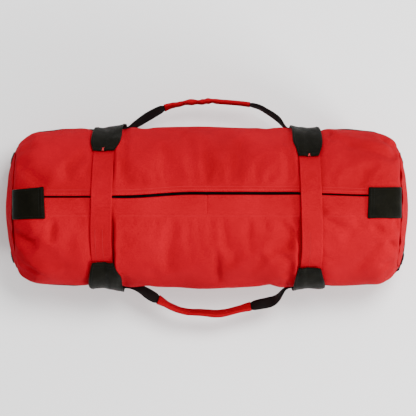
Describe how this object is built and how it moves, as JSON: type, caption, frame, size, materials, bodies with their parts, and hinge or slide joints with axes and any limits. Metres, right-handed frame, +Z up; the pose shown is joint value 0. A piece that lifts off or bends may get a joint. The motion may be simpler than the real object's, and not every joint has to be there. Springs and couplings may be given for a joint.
{
  "type": "training sandbag",
  "caption": "Barrel-shaped canvas training sandbag with a zip under a fly, girth straps, leather patches and padded side and end handles.",
  "frame": {"origin": "on the ground under the middle of the lying bag", "axes": "+X along the bag, +Y across it away from the front, +Z up"},
  "size_m": [0.635, 0.3442, 0.2214],
  "materials": {
    "canvas": "tightly woven red canvas",
    "webbing": "black woven webbing",
    "leather": "black leather, fine grain, soft sheen",
    "zip_tape": "black woven tape",
    "zip_coil": "black moulded coil",
    "zip_metal": "black painted zinc",
    "inner_bag": "dark coated nylon",
    "sand": "dry washed sand"
  },
  "bodies": {
    "bag": {"body_panel": "canvas", "left_end_panel": "canvas", "right_end_panel": "canvas", "left_seam_binding": "webbing", "right_seam_binding": "webbing", "left_fly": "canvas", "right_fly": "canvas", "front_zip_tape": "zip_tape", "rear_zip_tape": "zip_tape", "front_zip_chain": "zip_coil", "rear_zip_chain": "zip_coil", "zip_stops": "zip_metal", "left_zip_tab": "leather", "right_zip_tab": "leather", "left_girth_strap": "canvas", "right_girth_strap": "canvas", "left_front_patch": "leather", "right_front_patch": "leather", "left_rear_patch": "leather", "right_rear_patch": "leather", "left_front_belt": "webbing", "right_front_belt": "webbing", "left_rear_belt": "webbing", "right_rear_belt": "webbing", "left_filler_bag": "inner_bag", "middle_filler_bag": "inner_bag", "right_filler_bag": "inner_bag", "left_closure": "inner_bag", "middle_closure": "inner_bag", "right_closure": "inner_bag", "left_sand": "sand", "middle_sand": "sand", "right_sand": "sand"},
    "fly_lip": {"middle_fly": "canvas"},
    "slider": {"zip_slider": "zip_metal"},
    "pull": {"zip_pull": "zip_metal"},
    "left_strap": {"left_top_strap": "canvas"},
    "right_strap": {"right_top_strap": "canvas"},
    "front_handle": {"front_handle_webbing": "webbing", "front_handle_sleeve": "canvas"},
    "rear_handle": {"rear_handle_webbing": "webbing", "rear_handle_sleeve": "canvas"},
    "left_handle": {"left_end_handle": "webbing"},
    "right_handle": {"right_end_handle": "webbing"}
  },
  "joints": [
    {"name": "front_handle_swing", "type": "hinge", "parent": "bag", "child": "front_handle", "pos_m": [0, -0.1277, 0.0863], "axis": [-1, 0, 0], "range_deg": [-55, 90]},
    {"name": "rear_handle_swing", "type": "hinge", "parent": "bag", "child": "rear_handle", "pos_m": [0, 0.1277, 0.0863], "axis": [1, 0, 0], "range_deg": [-55, 90]},
    {"name": "left_end_handle_swing", "type": "hinge", "parent": "bag", "child": "left_handle", "pos_m": [-0.31035, 0, 0.0913], "axis": [0, 1, 0], "range_deg": [0, 110]},
    {"name": "right_end_handle_swing", "type": "hinge", "parent": "bag", "child": "right_handle", "pos_m": [0.31035, 0, 0.0913], "axis": [0, -1, 0], "range_deg": [0, 110]},
    {"name": "fly_fold", "type": "hinge", "parent": "bag", "child": "fly_lip", "pos_m": [0, -0.0107, 0.2159], "axis": [1, 0, 0], "range_deg": [0, 110]},
    {"name": "zip_slide", "type": "slide", "parent": "bag", "child": "slider", "axis": [1, 0, 0], "range_m": [-0.468, 0]},
    {"name": "pull_tip", "type": "hinge", "parent": "slider", "child": "pull", "pos_m": [0.234, 0.00667, 0.21014], "axis": [0, 0.9985, -0.0555], "range_deg": [0, 7]},
    {"name": "left_strap_lift", "type": "slide", "parent": "bag", "child": "left_strap", "axis": [0, 0, 1], "range_m": [0, 0.01]},
    {"name": "right_strap_lift", "type": "slide", "parent": "bag", "child": "right_strap", "axis": [0, 0, 1], "range_m": [0, 0.01]}
  ]
}
